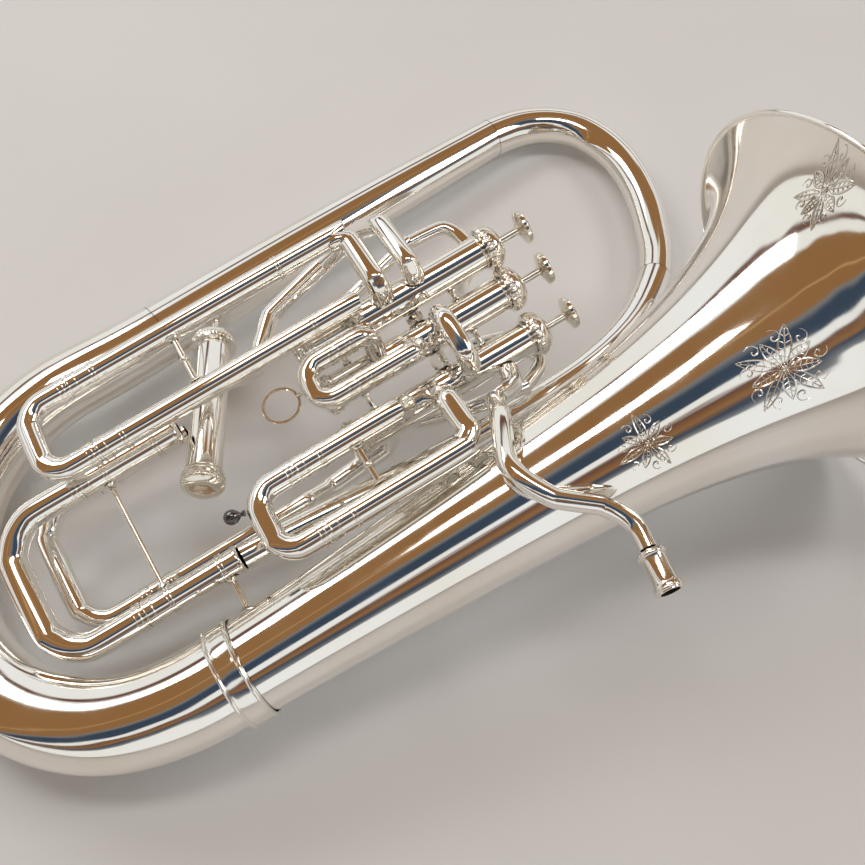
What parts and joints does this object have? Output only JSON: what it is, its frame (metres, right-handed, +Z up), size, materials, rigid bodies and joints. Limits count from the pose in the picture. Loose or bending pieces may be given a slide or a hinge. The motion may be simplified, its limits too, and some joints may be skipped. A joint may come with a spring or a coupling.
{
  "type": "euphonium",
  "caption": "Silver-plated compensating euphonium lying on its side, with sprung piston valves, tuning slides that pull, curled tubing and a flared bell.",
  "frame": {"origin": "middle of the bounding box at table level, as the instrument lies on bell rim, bottom bow and top bow", "axes": "+X along the instrument towards the bell, +Y towards the outer branch, +Z up from the table"},
  "size_m": [0.7296, 0.5374, 0.2978],
  "materials": {
    "silver_plate": "mirror silver plate",
    "silver_trim": "polished silver plate",
    "piston_nickel": "ground",
    "spring_steel": "drawn wire",
    "dark_knob": "dark polished"
  },
  "bodies": {
    "frame": {"bell": "silver_plate", "bottom_bow": "silver_plate", "outer_branch": "silver_plate", "top_bow": "silver_plate", "inner_branch": "silver_plate", "bell_collar": "silver_trim", "valve_casing_1": "silver_plate", "bottom_cap_1": "silver_trim", "top_cap_1": "silver_trim", "valve_spring_1": "spring_steel", "valve_casing_2": "silver_plate", "bottom_cap_2": "silver_trim", "top_cap_2": "silver_trim", "valve_spring_2": "spring_steel", "valve_casing_3": "silver_plate", "bottom_cap_3": "silver_trim", "top_cap_3": "silver_trim", "valve_spring_3": "spring_steel", "valve_casing_4": "silver_plate", "bottom_cap_4": "silver_trim", "top_cap_4": "silver_trim", "valve_spring_4": "spring_steel", "third_valve_sleeve_upper": "silver_plate", "third_valve_sleeve_lower": "silver_plate", "first_valve_sleeve_upper": "silver_plate", "first_valve_sleeve_lower": "silver_plate", "second_valve_sleeve_upper": "silver_plate", "second_valve_sleeve_lower": "silver_plate", "main_tuning_sleeve_upper": "silver_plate", "main_tuning_sleeve_lower": "silver_plate", "fourth_valve_sleeve_upper": "silver_plate", "fourth_valve_sleeve_lower": "silver_plate", "leadpipe": "silver_plate", "mouthpiece_receiver": "silver_trim", "crossover_tube": "silver_plate", "first_compensating_loop": "silver_plate", "valve_exit_tube": "silver_plate", "third_return_tube": "silver_plate", "valve_knuckle_1_2": "silver_plate", "valve_knuckle_2_3": "silver_plate", "third_slide_brace": "silver_trim", "first_slide_brace": "silver_trim", "main_slide_brace": "silver_trim", "bell_brace_main": "silver_trim", "outer_branch_brace": "silver_trim"},
    "valve_1": {"piston_1": "piston_nickel", "finger_button_1": "silver_trim"},
    "valve_2": {"piston_2": "piston_nickel", "finger_button_2": "silver_trim"},
    "valve_3": {"piston_3": "piston_nickel", "finger_button_3": "silver_trim"},
    "valve_4": {"piston_4": "piston_nickel", "finger_button_4": "silver_trim"},
    "third_valve_slide": {"third_valve_slide": "silver_plate"},
    "first_valve_slide": {"first_valve_slide": "silver_plate", "pull_knob": "dark_knob"},
    "second_valve_slide": {"second_valve_slide": "silver_plate"},
    "main_tuning_slide": {"main_tuning_slide": "silver_plate"},
    "fourth_valve_slide": {"fourth_valve_slide": "silver_plate"},
    "pull_ring": {"pull_ring": "silver_trim"}
  },
  "joints": [
    {"name": "valve_1_press", "type": "slide", "parent": "frame", "child": "valve_1", "axis": [-0.9863, 0, -0.165], "range_m": [0, 0.016], "stiffness_N_per_m": 120, "springref_m": -0.025, "deforming": ["valve_spring_1"]},
    {"name": "valve_2_press", "type": "slide", "parent": "frame", "child": "valve_2", "axis": [-0.9863, 0, -0.165], "range_m": [0, 0.016], "stiffness_N_per_m": 120, "springref_m": -0.025, "deforming": ["valve_spring_2"]},
    {"name": "valve_3_press", "type": "slide", "parent": "frame", "child": "valve_3", "axis": [-0.9863, 0, -0.165], "range_m": [0, 0.016], "stiffness_N_per_m": 120, "springref_m": -0.025, "deforming": ["valve_spring_3"]},
    {"name": "valve_4_press", "type": "slide", "parent": "frame", "child": "valve_4", "axis": [-0.4245, -0.8918, 0.1566], "range_m": [0, 0.0145], "stiffness_N_per_m": 120, "springref_m": -0.025, "deforming": ["valve_spring_4"]},
    {"name": "third_valve_pull", "type": "slide", "parent": "frame", "child": "third_valve_slide", "axis": [-0.9863, 0, -0.165], "range_m": [0, 0.11]},
    {"name": "first_valve_pull", "type": "slide", "parent": "frame", "child": "first_valve_slide", "axis": [-0.9863, 0, -0.165], "range_m": [0, 0.045]},
    {"name": "second_valve_pull", "type": "slide", "parent": "frame", "child": "second_valve_slide", "axis": [-0.9863, 0, -0.165], "range_m": [0, 0.01]},
    {"name": "main_tuning_pull", "type": "slide", "parent": "frame", "child": "main_tuning_slide", "axis": [-0.9863, 0, -0.165], "range_m": [0, 0.006]},
    {"name": "fourth_valve_pull", "type": "slide", "parent": "frame", "child": "fourth_valve_slide", "axis": [-0.9863, 0, -0.165], "range_m": [0, 0.032]},
    {"name": "pull_ring_swing", "type": "hinge", "parent": "second_valve_slide", "child": "pull_ring", "pos_m": [-0.05295, 0.01534, 0.13538], "axis": [0, 1, 0], "range_deg": [-60, 100]}
  ]
}
